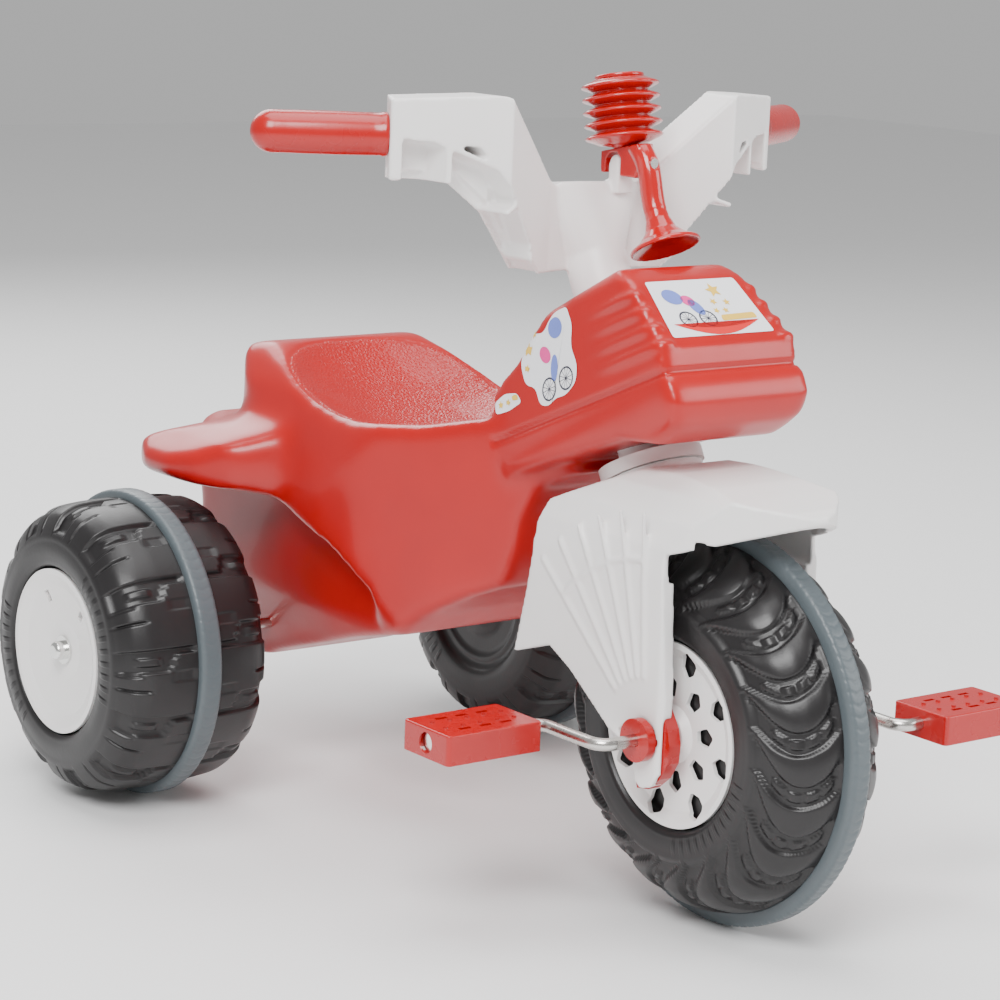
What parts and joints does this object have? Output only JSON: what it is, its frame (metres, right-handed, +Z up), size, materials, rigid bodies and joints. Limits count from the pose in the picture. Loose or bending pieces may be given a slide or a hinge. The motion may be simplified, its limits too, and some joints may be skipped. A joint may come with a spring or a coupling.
{
  "type": "children's tricycle",
  "caption": "Small child's pedal tricycle: hollow moulded body with seat, wide black wheels with grey bands, pedals on the front axle, swept handlebar with a squeeze horn.",
  "frame": {"origin": "on the ground under the middle of the tricycle's bounding box", "axes": "+Z up, -Y the way it rides, +X the rider's left"},
  "size_m": [0.513, 0.699, 0.5573],
  "materials": {
    "red_plastic": "glossy red",
    "white_plastic": "glossy white",
    "black_plastic": "satin black",
    "grey_band": "matte grey",
    "steel_rod": "bright zinc",
    "bright_cap": "bright",
    "horn_plastic": "glossy soft red",
    "clear_nylon": "natural"
  },
  "bodies": {
    "frame": {"body_shell": "red_plastic", "lower_bush": "white_plastic", "upper_bush": "white_plastic", "rear_axle": "steel_rod", "rear_washer_right": "steel_rod", "rear_washer_left": "steel_rod", "axle_cap_right": "bright_cap", "axle_cap_left": "bright_cap"},
    "steering": {"fork": "white_plastic", "handlebar": "white_plastic", "stem_bolt": "steel_rod", "stem_nut": "steel_rod", "horn_bellows": "horn_plastic", "horn_trumpet": "horn_plastic", "horn_reed": "clear_nylon", "horn_screw": "steel_rod", "grip_right": "red_plastic", "grip_left": "red_plastic", "axle_bracket_right": "red_plastic", "axle_bracket_left": "red_plastic"},
    "front_wheel": {"front_tyre": "black_plastic", "front_band": "grey_band", "crank": "steel_rod", "drive_pin": "steel_rod", "front_disc_right": "white_plastic", "front_disc_left": "white_plastic", "pedal_nut_right": "steel_rod", "pedal_nut_left": "steel_rod"},
    "pedal_right": {"pedal_right": "red_plastic"},
    "pedal_left": {"pedal_left": "red_plastic"},
    "rear_wheel_right": {"rear_tyre_right": "black_plastic", "rear_band_right": "grey_band", "rear_disc_right": "white_plastic"},
    "rear_wheel_left": {"rear_tyre_left": "black_plastic", "rear_band_left": "grey_band", "rear_disc_left": "white_plastic"},
    "horn_cap": {"bellows_cap": "horn_plastic"}
  },
  "joints": [
    {"name": "steer", "type": "hinge", "parent": "frame", "child": "steering", "pos_m": [0, -0.2145, 0.135], "axis": [0, 0.4664, 0.8846], "range_deg": [-40, 40]},
    {"name": "front_wheel_spin", "type": "hinge", "parent": "steering", "child": "front_wheel", "pos_m": [0, -0.2145, 0.135], "axis": [1, 0, 0], "continuous": true},
    {"name": "pedal_right_spin", "type": "hinge", "parent": "front_wheel", "child": "pedal_right", "pos_m": [-0.16, -0.1515, 0.135], "axis": [1, 0, 0], "continuous": true},
    {"name": "pedal_left_spin", "type": "hinge", "parent": "front_wheel", "child": "pedal_left", "pos_m": [0.16, -0.2775, 0.135], "axis": [1, 0, 0], "continuous": true},
    {"name": "rear_wheel_right_spin", "type": "hinge", "parent": "frame", "child": "rear_wheel_right", "pos_m": [-0.1885, 0.235, 0.1145], "axis": [1, 0, 0], "continuous": true},
    {"name": "rear_wheel_left_spin", "type": "hinge", "parent": "frame", "child": "rear_wheel_left", "pos_m": [0.1885, 0.235, 0.1145], "axis": [1, 0, 0], "continuous": true},
    {"name": "horn_squeeze", "type": "slide", "parent": "steering", "child": "horn_cap", "axis": [0, -0.2079, -0.9781], "range_m": [0, 0.022], "stiffness_N_per_m": 150, "deforming": ["horn_bellows"]}
  ]
}
